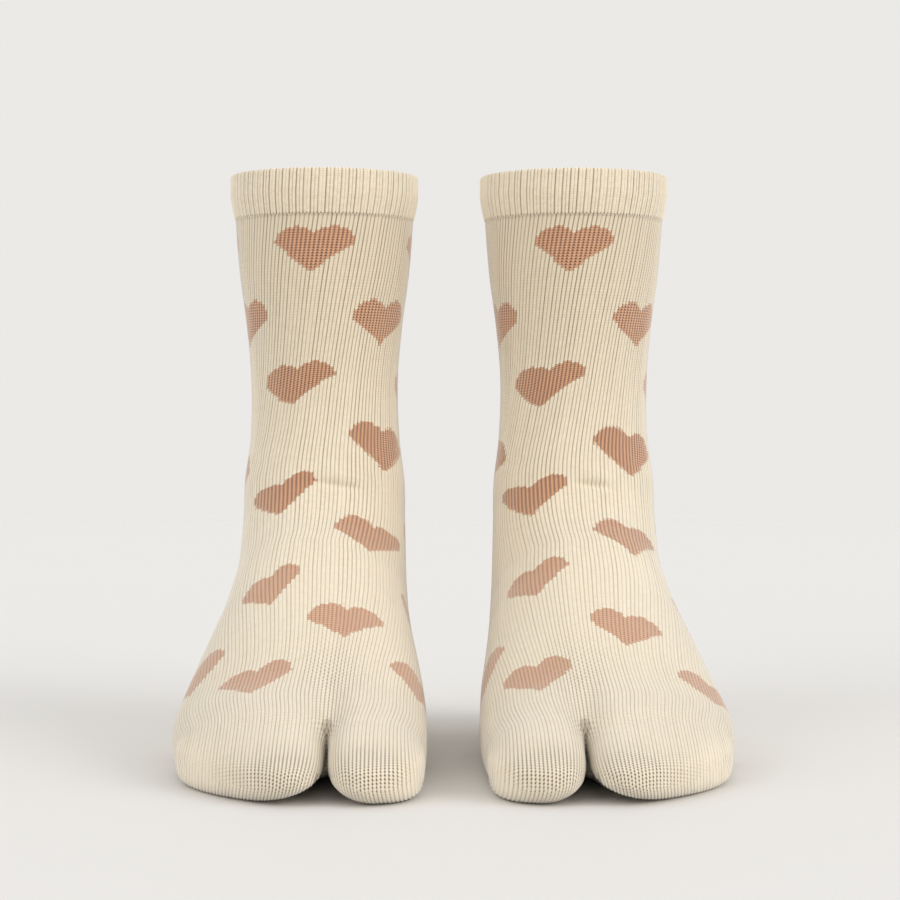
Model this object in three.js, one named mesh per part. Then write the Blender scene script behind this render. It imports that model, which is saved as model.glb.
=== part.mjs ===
// A pair of split-toe crew socks, filled out as if worn, standing side by side on their soles.
// Millimetres, +Z up, toes towards -Y, origin in the middle of the pair's footprint.
// Each sock has a knitted body (leg, heel, foot and two toe pockets in one wall) and a rib cuff.
import * as THREE from 'three';

// Driving dimensions.
const HEIGHT = 245; // sole to rim
const CUFF_HEIGHT = 19;
const LEG_TOP = HEIGHT - CUFF_HEIGHT - 0.3; // a hair under the cuff
const WALL = 1.5; // the knitted body
const CUFF_WALL = 2.8; // the rib is doubled back on itself
const CUFF_HALF_WIDTH = 41;
const CUFF_HALF_DEPTH = 39.4;
const LEG_SPACING = 109; // from leg axis to leg axis
const CLEFT_X = -6.6; // the cleft beside the big toe, from the leg axis; + is the little toe side
const CLEFT_GAP = 1.4;
const SOLE_SINK = 0.8; // how far the round of the sole is pressed flat on the floor

// Cross-sections of the knitted tube, from the cuff seam to the root of the cleft. Each spans from
// a front point (shin, instep, top of the toes) to a back point (calf, heel, sole), relative to the
// leg axis. "widest" is the fraction of that span, from the back, where the section is widest.
// The powers square off the front and back halves: 2 is an ellipse. "ridge" shifts the front point
// sideways, "slant" sets the little toe side back, and the dips sink the cleft's two ends.
const SECTION_COLUMNS = [
  'frontY', 'frontZ', 'backY', 'backZ', 'midX', 'halfWidth', 'widest', 'frontPower', 'backPower',
  'ridge', 'slant', 'topDip', 'soleDip',
];
const SECTIONS = [
  [-37.6, LEG_TOP, 37.6, LEG_TOP, 0.0, 38.6, 0.50, 2.0, 2.0, 0, 0, 0, 0], // below the cuff
  [-36.4, 203.0, 36.4, 203.0, 0.0, 36.8, 0.50, 2.0, 2.0, 0, 0, 0, 0],
  [-35.4, 180.0, 35.4, 180.0, 0.0, 33.8, 0.50, 2.0, 2.0, 0, 0, 0, 0],
  [-35.0, 157.0, 35.2, 155.0, 0.0, 31.8, 0.50, 2.1, 2.0, 0, 0, 0, 0], // narrowest
  [-35.6, 135.0, 35.8, 128.0, -0.3, 32.2, 0.50, 2.3, 2.0, 0, 0, 0, 0],
  [-37.2, 119.0, 37.6, 103.0, -0.2, 34.6, 0.50, 2.4, 2.0, 0, 0, 0, 0], // ankle
  [-39.6, 109.0, 41.4, 79.0, 0.0, 35.0, 0.50, 2.5, 2.0, 0, 0, 0, 0],
  [-43.4, 101.5, 46.2, 57.0, 0.3, 35.6, 0.50, 2.6, 2.0, 0, 0, 0, 0],
  [-48.0, 96.4, 49.8, 38.0, 0.7, 36.3, 0.49, 2.6, 2.0, 0, 0, 0, 0], // heel
  [-52.4, 92.6, 51.2, 22.0, 1.2, 37.4, 0.48, 2.6, 2.1, 0, 0, 0, 0],
  [-56.8, 89.0, 47.6, 8.6, 1.8, 38.7, 0.47, 2.6, 2.2, 0, 0, 0, 0],
  [-61.8, 84.9, 36.0, 1.0, 2.4, 40.2, 0.45, 2.6, 2.5, -1, 0, 0, 0],
  [-68.2, 79.6, 18.0, -SOLE_SINK, 3.1, 42.0, 0.42, 2.5, 3.2, -2, 0, 0, 0], // instep
  [-76.6, 73.0, -13.0, -SOLE_SINK, 3.8, 44.2, 0.38, 2.5, 4.0, -3, 2, 0, 0],
  [-88.2, 64.4, -40.0, -SOLE_SINK, 4.5, 46.6, 0.37, 2.4, 4.4, -4, 5, 0, 0],
  [-101.0, 55.4, -67.0, -SOLE_SINK, 5.0, 48.2, 0.37, 2.4, 4.6, -5, 9, 0, 0],
  [-114.0, 46.6, -92.0, -SOLE_SINK, 5.5, 49.3, 0.38, 2.4, 4.6, -5, 14, 0, 0], // ball
  [-127.0, 39.4, -114.0, -SOLE_SINK, 5.8, 49.6, 0.38, 2.4, 4.6, -4, 18, 0.8, 1.0],
  [-140.0, 34.8, -133.0, -SOLE_SINK, 5.6, 49.0, 0.38, 2.5, 4.4, -3, 21, 2.5, 4.0],
  [-152.0, 32.2, -150.0, -SOLE_SINK, 5.0, 47.8, 0.38, 2.5, 4.2, -2, 24, 4.5, 8.5], // cleft root
];
const CLEFT_DIP_WIDTH = 6;
const SLANT_POWER = 1.6;

// The two toe pockets. A pocket's ring runs between its web corner, at the cleft, and its outer
// corner. Its cap reaches forward from there and closes along a seam under the front of the toes.
const POCKETS = {
  bigToe: {
    webX: CLEFT_X - CLEFT_GAP / 2,
    outerX: -43,
    webY: -160,
    outerY: -156,
    reach: 31.5,
    reachBias: 0.1,
    webTop: 31,
    outerTop: 29,
    webCorner: 12,
    outerCorner: 12,
  },
  smallToes: {
    webX: CLEFT_X + CLEFT_GAP / 2,
    outerX: 52,
    webY: -160,
    outerY: -129,
    reach: 29.5,
    reachBias: 0.42,
    webTop: 31,
    outerTop: 28,
    webCorner: 12,
    outerCorner: 11.5,
  },
};
const WEB_POWERS = [3.4, 2.8]; // of the ring's outline beside the cleft, on top and on the sole
const OUTER_POWERS = [2.4, 4.0];
const CAP_POWERS = [2.3, 3.4]; // of the cap, above and below its widest level
const PLAN_POWER = 2.5; // of the cap's outline, seen from above
const SEAM_DROP = 0.42; // radians that the toe seam dips below the widest level

// Mesh density.
const RING_STEPS = 32;
const BIG_TOE_STEPS = 7; // of the 16 steps across the front, those on the big toe side
const WEB_STEPS = 2; // from each end of the web to its corner
const BRIDGE_STAGES = [0.12, 0.45]; // rings between the web and the caps
const CAP_ROWS = 4;

const HALF_RING = RING_STEPS / 2;
const CLEFT_ON_TOP = BIG_TOE_STEPS;
const CLEFT_ON_SOLE = RING_STEPS - BIG_TOE_STEPS;
const { cos, sin, abs, max, min, PI } = Math;
const mix = (a, b, t) => a + (b - a) * t;
const mixPoints = (p, q, flat, along) =>
  [mix(p[0], q[0], flat), mix(p[1], q[1], along), mix(p[2], q[2], flat)];

// A unit superellipse: its extent along and across the axis that the angle is measured from.
function superellipse(angle, power) {
  const along = cos(angle);
  const across = sin(angle);
  const radius = (abs(along) ** power + abs(across) ** power) ** (-1 / power);
  return [radius * along, radius * across];
}

// One column of the table at a fractional row, on a Catmull-Rom curve.
function columnAt(column, place) {
  const last = SECTIONS.length - 1;
  const row = min(Math.floor(place), last - 1);
  const t = place - row;
  const value = (index) => SECTIONS[index][column];
  const p1 = value(row);
  const p2 = value(row + 1);
  const p0 = row > 0 ? value(row - 1) : 2 * p1 - p2;
  const p3 = row + 2 <= last ? value(row + 2) : 2 * p2 - p1;
  const slopeIn = (p2 - p0) / 2;
  const slopeOut = (p3 - p1) / 2;
  const rise = p2 - p1;
  return p1 + t * (slopeIn + t * (3 * rise - 2 * slopeIn - slopeOut
    + t * (slopeIn + slopeOut - 2 * rise)));
}

function sectionAt(place) {
  return Object.fromEntries(SECTION_COLUMNS.map((name, i) => [name, columnAt(i, place)]));
}

// A point of a section. Angle 0 is the front, a quarter turn the little toe side, a half the back.
function sectionPoint(shape, angle) {
  const power = cos(angle) >= 0 ? shape.frontPower : shape.backPower;
  const [front, side] = superellipse(angle, power);
  const level = shape.widest + front * (front > 0 ? 1 - shape.widest : shape.widest);
  const x = shape.midX + shape.halfWidth * side + shape.ridge * max(front, 0) ** 2;
  const outward = max(x - CLEFT_X, 0) / (shape.midX + shape.halfWidth - CLEFT_X);
  const y = mix(shape.backY, shape.frontY, level) + shape.slant * outward ** SLANT_POWER;
  const dip = Math.exp(-(((x - CLEFT_X) / CLEFT_DIP_WIDTH) ** 2));
  const z = mix(shape.backZ, shape.frontZ, level)
    + dip * (front > 0 ? -shape.topDip : shape.soleDip);
  return [x, y, max(z, 0)];
}

// The angle, on the front or back of a section, of the wale that runs into the cleft.
function cleftAngle(shape, onTop) {
  let low = onTop ? -1 : PI + 1;
  let high = onTop ? 1 : PI - 1;
  for (let i = 0; i < 50; i += 1) {
    const middle = (low + high) / 2;
    if (sectionPoint(shape, middle)[0] < CLEFT_X) low = middle;
    else high = middle;
  }
  return (low + high) / 2;
}

// A ring of the tube, from the big toe side over the front to the little toe side and round the
// back. On the leg its points are evenly spread; towards the toes they close in on the cleft.
function tubeRing(row) {
  const shape = sectionAt(row);
  const even = (k) => (k / RING_STEPS) * 2 * PI - PI / 2;
  const pull = THREE.MathUtils.smoothstep(row, 10, SECTIONS.length - 1);
  const top = mix(even(CLEFT_ON_TOP), cleftAngle(shape, true), pull);
  const sole = mix(even(CLEFT_ON_SOLE), cleftAngle(shape, false), pull);
  const knots = [[0, -PI / 2], [CLEFT_ON_TOP, top], [HALF_RING, PI / 2], [CLEFT_ON_SOLE, sole],
    [RING_STEPS, 1.5 * PI]];
  return Array.from({ length: RING_STEPS }, (_, k) => {
    const next = knots.findIndex(([index]) => index > k);
    const [[from, start], [to, end]] = [knots[next - 1], knots[next]];
    return sectionPoint(shape, mix(start, end, (k - from) / (to - from)));
  });
}

// A point of a toe pocket. Across runs from 0 at the web corner to pi at the outer corner, and tilt
// from 0 on top, over the front, to pi on the sole.
function pocketPoint(pocket, across, tilt) {
  const [topPower, solePower] = across < PI / 2 ? WEB_POWERS : OUTER_POWERS;
  const ringPower = mix(topPower, solePower, (1 - cos(tilt)) / 2);
  const [towardsWeb, bulge] = superellipse(across, ringPower);
  const outward = (1 - towardsWeb) / 2;
  const corner = mix(pocket.webCorner, pocket.outerCorner, outward);
  const top = mix(pocket.webTop, pocket.outerTop, outward);
  const blunt = max(1 - abs(towardsWeb) ** PLAN_POWER, 0) ** (1 / PLAN_POWER);
  const reach = pocket.reach * (1 + pocket.reachBias * towardsWeb) * blunt;
  const [up, forward] = superellipse(tilt, CAP_POWERS[cos(tilt) >= 0 ? 0 : 1]);
  const x = mix(pocket.webX, pocket.outerX, outward);
  const y = mix(pocket.webY, pocket.outerY, outward ** SLANT_POWER) - reach * max(forward, 0);
  const z = corner + bulge * up * (up > 0 ? top - corner : corner + SOLE_SINK);
  return [x, y, max(z, 0)];
}

// The closed rings of a pocket, from the one at the web to the one pressed flat in the toe seam.
// A ring starts at the corner where startsAt is, and goes over the top and back under the sole.
function pocketRings(pocket, webRing, webFirst) {
  const steps = webRing.length / 2;
  const ringAt = (row) => Array.from({ length: 2 * steps }, (_, k) => {
    const onTop = k <= steps;
    const turn = (onTop ? k : 2 * steps - k) / steps;
    const across = PI * (webFirst ? turn : 1 - turn);
    const seam = PI / 2 + SEAM_DROP * sin(across);
    const done = row / CAP_ROWS;
    return pocketPoint(pocket, across, onTop ? seam * done : PI - (PI - seam) * done);
  });
  const base = ringAt(0);
  const bridge = BRIDGE_STAGES.map((stage) =>
    webRing.map((point, k) => mixPoints(point, base[k], stage ** 0.5, stage)));
  const cap = Array.from({ length: CAP_ROWS }, (_, row) => ringAt(row + 1));
  return [webRing, ...bridge, base, ...cap];
}

// A surface that welds points as they are added and drops the faces that this flattens.
class Surface {
  points = [];
  faces = [];
  known = new Map();

  vertex(point) {
    const key = point.map((value) => (value + 0).toFixed(4)).join(' ');
    if (!this.known.has(key)) {
      this.known.set(key, this.points.length);
      this.points.push(new THREE.Vector3(...point));
    }
    return this.known.get(key);
  }

  face(a, b, c) {
    if (a !== b && b !== c && c !== a) this.faces.push([a, b, c]);
  }

  // Joins two closed rings of as many points. It faces out when the rings turn anticlockwise, seen
  // from above, and the second lies below the first.
  loft(upper, lower) {
    const a = upper.map((point) => this.vertex(point));
    const b = lower.map((point) => this.vertex(point));
    a.forEach((_, i) => {
      const j = (i + 1) % a.length;
      this.face(a[i], b[i], b[j]);
      this.face(a[i], b[j], a[j]);
    });
  }

  loftAll(rings) {
    rings.slice(1).forEach((ring, i) => this.loft(rings[i], ring));
  }

  normals() {
    const sums = this.points.map(() => new THREE.Vector3());
    this.faces.forEach((face) => {
      const [a, b, c] = face.map((i) => this.points[i]);
      const weighted = b.clone().sub(a).cross(c.clone().sub(a));
      face.forEach((i) => sums[i].add(weighted));
    });
    return sums.map((sum) => sum.normalize());
  }

  geometry(mirrored) {
    const side = mirrored ? -1 : 1;
    const made = new THREE.BufferGeometry();
    const positions = this.points.flatMap(({ x, y, z }) => [side * x, y, z]);
    const index = this.faces.flatMap(([a, b, c]) => (mirrored ? [a, c, b] : [a, b, c]));
    made.setAttribute('position', new THREE.Float32BufferAttribute(positions, 3));
    made.setIndex(index);
    made.computeVertexNormals();
    return made;
  }
}

// Gives an open surface its inner face, a wall's thickness in, and closes the rim with a flat edge.
function thicken(surface, rim, wall) {
  const outerFaces = [...surface.faces];
  const rimLoop = rim.map((point) => surface.vertex(point));
  const normals = surface.normals();
  const count = normals.length;
  const rimSet = new Set(rimLoop);
  normals.forEach((normal, i) => {
    const inner = surface.points[i].clone().addScaledVector(normal, -wall);
    if (rimSet.has(i)) inner.z = surface.points[i].z;
    surface.points.push(inner);
  });
  outerFaces.forEach(([a, b, c]) => surface.face(count + a, count + c, count + b));
  rimLoop.forEach((a, i) => {
    const b = rimLoop[(i + 1) % rimLoop.length];
    surface.face(a, b, count + b);
    surface.face(a, count + b, count + a);
  });
}

// Leg, heel and foot as one tube, parted at the cleft into the two toe pockets.
function bodySurface() {
  const surface = new Surface();
  const tube = SECTIONS.map((_, row) => tubeRing(row));
  surface.loftAll(tube);
  const root = tube[tube.length - 1];
  const onTop = root[CLEFT_ON_TOP];
  const onSole = root[CLEFT_ON_SOLE];
  const webSteps = 2 * WEB_STEPS;
  const web = Array.from({ length: webSteps - 1 }, (_, i) =>
    onTop.map((value, axis) => mix(value, onSole[axis], (i + 1) / webSteps)));
  const webCorner = web[WEB_STEPS - 1];
  const bigToe = [...root.slice(0, CLEFT_ON_TOP + 1), ...web, ...root.slice(CLEFT_ON_SOLE)];
  const smallToes = [webCorner, ...web.slice(0, WEB_STEPS - 1).reverse(),
    ...root.slice(CLEFT_ON_TOP, CLEFT_ON_SOLE + 1), ...web.slice(WEB_STEPS).reverse()];
  surface.loftAll(pocketRings(POCKETS.bigToe, bigToe, false));
  surface.loftAll(pocketRings(POCKETS.smallToes, smallToes, true));
  thicken(surface, tube[0], WALL);
  return surface;
}

// The doubled rib above the leg: a band with a rounded rim, drawn in slightly at its lower edge.
function cuffSurface() {
  const surface = new Surface();
  const foot = HEIGHT - CUFF_HEIGHT;
  const round = CUFF_WALL / 2;
  const profile = [ // how far the ring lies inside the cuff's widest outline, and its height
    [round, HEIGHT],
    [0.35 * round, HEIGHT - 0.3 * round],
    [0, HEIGHT - round],
    [0.2, HEIGHT - CUFF_HEIGHT / 2],
    [0.5, foot + round],
    [0.9, foot],
    [CUFF_WALL, foot],
    [CUFF_WALL, HEIGHT - round],
    [CUFF_WALL - 0.35 * round, HEIGHT - 0.3 * round],
  ];
  const rings = profile.map(([inset, z]) => Array.from({ length: RING_STEPS }, (_, k) => {
    const [side, depth] = superellipse((k / RING_STEPS) * 2 * PI + PI, 2);
    return [side * (CUFF_HALF_WIDTH - inset), depth * (CUFF_HALF_DEPTH - inset), z];
  }));
  surface.loftAll([...rings, rings[0]]);
  return surface;
}

const KNIT = { color: 0xe6d8bc, roughness: 0.95, metalness: 0 };
const RIB = { color: 0xd9cab0, roughness: 0.95, metalness: 0 };

function piece(name, surface, mirrored, finish) {
  const mesh = new THREE.Mesh(surface.geometry(mirrored), new THREE.MeshStandardMaterial(finish));
  mesh.name = name;
  return mesh;
}

// The toes point towards -Y, so the left foot's sock stands at +X.
const pair = new THREE.Group();
[{ foot: 'left', side: 1 }, { foot: 'right', side: -1 }].forEach(({ foot, side }) => {
  const sock = new THREE.Group();
  sock.add(piece(`${foot}_sock_body`, bodySurface(), side < 0, KNIT));
  sock.add(piece(`${foot}_sock_cuff`, cuffSurface(), side < 0, RIB));
  sock.position.x = (side * LEG_SPACING) / 2;
  pair.add(sock);
});
const footprint = new THREE.Box3().setFromObject(pair).getCenter(new THREE.Vector3());
pair.position.y = -footprint.y;

export default pair;
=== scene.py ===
"""The looks of a pair of split-toe crew socks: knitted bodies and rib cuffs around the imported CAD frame.

Each body is lofted again at stitch scale from the sections of the CAD part: two mesh columns to a
wale, so the wales are real ridges, and the wall has an inner face. Stitches, hearts and stretched
openings are procedural, in stitch units: u counts wales round the sock and v courses down it.
Millimetres in local sock axes (+x little toe side, -y toes, z up) until a mesh is made.
"""

from math import cos, pi, radians, sin, tan

import bpy
import numpy as np
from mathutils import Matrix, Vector


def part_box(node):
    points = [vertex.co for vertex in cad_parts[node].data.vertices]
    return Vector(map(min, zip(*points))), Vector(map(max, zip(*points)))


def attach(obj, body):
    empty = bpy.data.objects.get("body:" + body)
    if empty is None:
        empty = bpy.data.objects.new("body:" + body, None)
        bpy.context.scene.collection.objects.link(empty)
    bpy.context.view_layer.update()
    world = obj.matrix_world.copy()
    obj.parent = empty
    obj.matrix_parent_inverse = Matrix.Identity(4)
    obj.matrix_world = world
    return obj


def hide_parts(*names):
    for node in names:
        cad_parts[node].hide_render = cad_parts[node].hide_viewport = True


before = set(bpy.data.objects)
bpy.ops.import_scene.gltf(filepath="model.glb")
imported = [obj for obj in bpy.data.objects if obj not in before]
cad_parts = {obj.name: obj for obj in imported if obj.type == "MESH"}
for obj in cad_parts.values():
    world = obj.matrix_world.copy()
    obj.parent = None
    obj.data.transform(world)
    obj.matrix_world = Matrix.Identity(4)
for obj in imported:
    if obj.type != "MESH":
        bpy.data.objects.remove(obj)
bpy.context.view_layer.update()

MM = 0.001
HEIGHT = 245.0
CUFF_HEIGHT = 19.0
CUFF_CLEARANCE = 0.3
LEG_TOP = HEIGHT - CUFF_HEIGHT - CUFF_CLEARANCE
WALL = 1.5
CUFF_WALL = 2.8
CUFF_HALF_WIDTH = 41.0
CUFF_HALF_DEPTH = 39.4
LEG_SPACING = 109.0
CLEFT_X = -6.6
CLEFT_GAP = 1.4
SOLE_SINK = 0.8  # how far the sole's middle would go below the floor, which flattens it
CLEFT_DIP_WIDTH = 6.0
SLANT_POWER = 1.6

# Each section is an oval from a front line to a back one, level on the leg and tilted on the foot.
# widest is how far forward its greatest width lies, ridge the lean of its front, slant how far its
# little toe side lies back, and the two dips are the hollows that lead to the cleft.
SECTION_COLUMNS = ("front_y", "front_z", "back_y", "back_z", "mid_x", "half_width", "widest",
                   "front_power", "back_power", "ridge", "slant", "top_dip", "sole_dip")
SECTIONS = np.array([
    [-37.6, LEG_TOP, 37.6, LEG_TOP, 0, 38.6, 0.5, 2, 2, 0, 0, 0, 0],
    [-36.4, 203, 36.4, 203, 0, 36.8, 0.5, 2, 2, 0, 0, 0, 0],
    [-35.4, 180, 35.4, 180, 0, 33.8, 0.5, 2, 2, 0, 0, 0, 0],
    [-35, 157, 35.2, 155, 0, 31.8, 0.5, 2.1, 2, 0, 0, 0, 0],
    [-35.6, 135, 35.8, 128, -0.3, 32.2, 0.5, 2.3, 2, 0, 0, 0, 0],
    [-37.2, 119, 37.6, 103, -0.2, 34.6, 0.5, 2.4, 2, 0, 0, 0, 0],
    [-39.6, 109, 41.4, 79, 0, 35, 0.5, 2.5, 2, 0, 0, 0, 0],
    [-43.4, 101.5, 46.2, 57, 0.3, 35.6, 0.5, 2.6, 2, 0, 0, 0, 0],
    [-48, 96.4, 49.8, 38, 0.7, 36.3, 0.49, 2.6, 2, 0, 0, 0, 0],
    [-52.4, 92.6, 51.2, 22, 1.2, 37.4, 0.48, 2.6, 2.1, 0, 0, 0, 0],
    [-56.8, 89, 47.6, 8.6, 1.8, 38.7, 0.47, 2.6, 2.2, 0, 0, 0, 0],
    [-61.8, 84.9, 36, 1, 2.4, 40.2, 0.45, 2.6, 2.5, -1, 0, 0, 0],
    [-68.2, 79.6, 18, -SOLE_SINK, 3.1, 42, 0.42, 2.5, 3.2, -2, 0, 0, 0],
    [-76.6, 73, -13, -SOLE_SINK, 3.8, 44.2, 0.38, 2.5, 4, -3, 2, 0, 0],
    [-88.2, 64.4, -40, -SOLE_SINK, 4.5, 46.6, 0.37, 2.4, 4.4, -4, 5, 0, 0],
    [-101, 55.4, -67, -SOLE_SINK, 5, 48.2, 0.37, 2.4, 4.6, -5, 9, 0, 0],
    [-114, 46.6, -92, -SOLE_SINK, 5.5, 49.3, 0.38, 2.4, 4.6, -5, 14, 0, 0],
    [-127, 39.7, -114, -SOLE_SINK, 5.8, 49.6, 0.38, 2.4, 4.6, -4, 18, 1, 1],
    [-140, 34.9, -133, -SOLE_SINK, 5.6, 49, 0.38, 2.5, 4.4, -3, 21, 3, 4],
    [-152, 30.8, -150, -SOLE_SINK, 5, 47.8, 0.38, 2.5, 4.2, -2, 24, 6, 8.5],
])
LAST = len(SECTIONS) - 1
# The toe pockets run from the web between them to the outer side; corner is the height of the seam's
# side of a pocket, and bias how much further the web's side reaches.
BIG_TOE = dict(web_x=CLEFT_X - CLEFT_GAP / 2, outer_x=-43, web_y=-160, outer_y=-156, reach=31.5,
               bias=0.1, web_top=28, outer_top=26.5, web_corner=12, outer_corner=12)
SMALL_TOES = dict(web_x=CLEFT_X + CLEFT_GAP / 2, outer_x=52, web_y=-160, outer_y=-129, reach=29.5,
                  bias=0.42, web_top=28, outer_top=25.5, web_corner=12, outer_corner=11.5)
WEB_POWERS, OUTER_POWERS = (3.4, 1.7), (2.4, 4.0)  # of the ovals' corners, above and below
CAP_POWERS, PLAN_POWER = (2.0, 3.4), 2.5  # of the toes' fronts from the side, and from above
TOE_SLOPE = 0.28  # how the tops of the toes go on falling
SEAM_DROP = 0.42  # radians below level, of the toe seam

WALES = 160
CLEFT_WALE = 33  # of the 80 across the top of the foot, counted from the big toe side
LEG_FRONT_WALES = 62  # of the 160, which lie across the front half of the leg
WEB_WALES = 5  # from the top of the web at the root of the cleft to its middle
ROW_COURSES = 26  # from one row of hearts to the next
FIRST_HEARTS = 14.0  # courses below the cuff
HEARTS_ROUND = 4
NO_HEARTS = 20.0  # a row of the motif beyond the last
# Where the rows of hearts fall on the front line, in sections, and the courses that lie there.
HEART_PLACES = (0.65, 2.02, 3.05, 4.05, 5.75, 8.8, 12.35, 14.6, 16.7)
COURSE_PLACES = (0.0, *HEART_PLACES, 19.0)
COURSES_THERE = (0.0, *(FIRST_HEARTS + ROW_COURSES * row for row in range(9)),
                 FIRST_HEARTS + ROW_COURSES * 9.2)


def mix(a, b, t):
    return a + (b - a) * t


def smooth(x, low, high):
    t = np.clip((x - low) / (high - low), 0, 1)
    return t * t * (3 - 2 * t)


def eased(x, knots, values):
    """A smooth curve through the knots, level with the chords beside each of them."""
    knots, values = np.array(knots, float), np.array(values, float)
    chord = np.diff(values) / np.diff(knots)
    slope = np.concatenate([chord[:1], 2 / (1 / chord[1:] + 1 / chord[:-1]), chord[-1:]])
    k = np.clip(np.searchsorted(knots, x, "right") - 1, 0, len(knots) - 2)
    gap = knots[k + 1] - knots[k]
    t = (x - knots[k]) / gap
    return (values[k] * (1 - t) ** 2 * (1 + 2 * t) + values[k + 1] * t * t * (3 - 2 * t)
            + gap * slope[k] * t * (1 - t) ** 2 - gap * slope[k + 1] * t * t * (1 - t))


def superellipse(angle, power):
    along, across = np.cos(angle), np.sin(angle)
    radius = (np.abs(along) ** power + np.abs(across) ** power) ** (-1 / power)
    return radius * along, radius * across


def section_at(place):
    """The section table at fractional rows, on Catmull-Rom curves."""
    place = np.asarray(place, float)
    row = np.clip(np.floor(place).astype(int), 0, LAST - 1)
    t = (place - row)[..., None]
    p1, p2 = SECTIONS[row], SECTIONS[row + 1]
    p0 = np.where((row > 0)[..., None], SECTIONS[np.maximum(row - 1, 0)], 2 * p1 - p2)
    p3 = np.where((row + 2 <= LAST)[..., None], SECTIONS[np.minimum(row + 2, LAST)], 2 * p2 - p1)
    m1, m2, rise = (p2 - p0) / 2, (p3 - p1) / 2, p2 - p1
    value = p1 + t * (m1 + t * (3 * rise - 2 * m1 - m2 + t * (m1 + m2 - 2 * rise)))
    return {name: value[..., i] for i, name in enumerate(SECTION_COLUMNS)}


def section_point(place, angle):
    """Angle 0 is the front, a quarter turn the little toe side, a half the back or the sole."""
    s = section_at(place)
    front, side = superellipse(angle, np.where(np.cos(angle) >= 0, s["front_power"], s["back_power"]))
    level = s["widest"] + front * np.where(front > 0, 1 - s["widest"], s["widest"])
    x = s["mid_x"] + s["half_width"] * side + s["ridge"] * np.maximum(front, 0) ** 2
    outward = np.maximum(x - CLEFT_X, 0) / (s["mid_x"] + s["half_width"] - CLEFT_X)
    y = mix(s["back_y"], s["front_y"], level) + s["slant"] * outward ** SLANT_POWER
    dip = np.exp(-((x - CLEFT_X) / CLEFT_DIP_WIDTH) ** 2)
    z = mix(s["back_z"], s["front_z"], level) + dip * np.where(front > 0, -s["top_dip"], s["sole_dip"])
    return np.stack([x, y, np.maximum(z, 0)], -1)


def pocket_point(pocket, across, tilt):
    """Across runs from 0 at the web corner to pi at the outer one, tilt from 0 on top to pi below."""
    near_web = across < pi / 2
    top_power = np.where(near_web, WEB_POWERS[0], OUTER_POWERS[0])
    sole_power = np.where(near_web, WEB_POWERS[1], OUTER_POWERS[1])
    towards_web, bulge = superellipse(across, mix(top_power, sole_power, (1 - np.cos(tilt)) / 2))
    outward = (1 - towards_web) / 2
    corner = mix(pocket["web_corner"], pocket["outer_corner"], outward)
    top = mix(pocket["web_top"], pocket["outer_top"], outward)
    blunt = np.maximum(1 - np.abs(towards_web) ** PLAN_POWER, 0) ** (1 / PLAN_POWER)
    reach = pocket["reach"] * (1 + pocket["bias"] * towards_web) * blunt
    up, forward = superellipse(tilt, np.where(np.cos(tilt) >= 0, *CAP_POWERS))
    x = mix(pocket["web_x"], pocket["outer_x"], outward)
    y = mix(pocket["web_y"], pocket["outer_y"], outward ** SLANT_POWER) - reach * np.maximum(forward, 0)
    z = corner + bulge * up * np.where(up > 0, top - corner, corner + SOLE_SINK)
    z = z - TOE_SLOPE * reach * np.maximum(forward, 0) * np.maximum(up, 0) * bulge
    return np.stack([x, y, np.maximum(z, 0)], -1)


def lengths(points, axis=0):
    """Distance along a line of points, from its first."""
    steps = np.linalg.norm(np.diff(points, axis=axis), axis=-1)
    return np.insert(np.cumsum(steps, axis), 0, 0, axis)


# A sock's own axes lie half the legs' spacing to its side of the CAD's frame, and so far back that
# the heel touches the back of the body's box.
HEEL_Y = section_point(*np.meshgrid(np.linspace(0, LAST, 200), np.linspace(0, 2 * pi, 300),
                                    indexing="ij"))[..., 1].max()
OFFSET_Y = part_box("left_sock_body")[1][1] / MM - float(HEEL_Y)

PLACES = np.linspace(0, LAST, 1901)
FRONT_ARC = lengths(section_point(PLACES, np.zeros_like(PLACES)))
BACK_ARC = lengths(section_point(PLACES, np.full_like(PLACES, pi)))
# The front line's courses are closer together at the ankle, where the knit bunches.
FRONT_COURSES = eased(PLACES, COURSE_PLACES, COURSES_THERE)

# The heel pocket: extra courses on the back half, between two lines that meet at the sides.
GORE_TOP, GORE_END = 4.6, 10.8  # sections, on the leg and at the sides
HEEL_END = 13.4  # and on the sole
BEHIND_END = GORE_END - 1.4  # the section whose courses go on where the pocket ends
HEEL_COURSES = 96
HEEL_EDGE, HEEL_BULGE = radians(100), 0.3  # where the pocket ends on the sides, and how it curves
SAG_PLACES = (2.3, 3.2, 4.5, 5.2, 12.6, 14.8, LAST)
SAG_DEPTHS = (0, 0.2, 0.5, 0.6, 0.6, 0.25, 0.25)


def sag_at(place, angle):
    """How far a course dips, in sections, on either side of the front of the ankle."""
    away = np.abs(angle)
    dip = np.where(away < pi / 2, np.sin(2 * angle) ** 2, 0)
    beyond = (away > pi / 4) * (1 - smooth(place, 5, 8)) * (1 - smooth(away, 1.4, 2.2))
    return np.interp(place, SAG_PLACES, SAG_DEPTHS) * np.maximum(dip, beyond)


def course_at(place, angle):
    """Courses from the cuff, on the ordinary knitting outside the heel pocket."""
    lag = smooth(np.abs(angle), radians(62), radians(140))
    behind = np.interp(place, [0, GORE_TOP, HEEL_END, LAST], [0, GORE_TOP, BEHIND_END, LAST])
    return np.interp(mix(place, behind, lag) - sag_at(place, angle), PLACES, FRONT_COURSES)


def heel_course_at(place):
    """Courses from the cuff down the back, with the heel pocket's own."""
    start = np.interp(GORE_TOP, PLACES, FRONT_COURSES)
    end = course_at(np.full_like(place, HEEL_END), np.full_like(place, pi)) + HEEL_COURSES
    here, top, bottom = (np.interp(at, PLACES, BACK_ARC) for at in (place, GORE_TOP, HEEL_END))
    return mix(start, end, (here - top) / (bottom - top))


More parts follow.
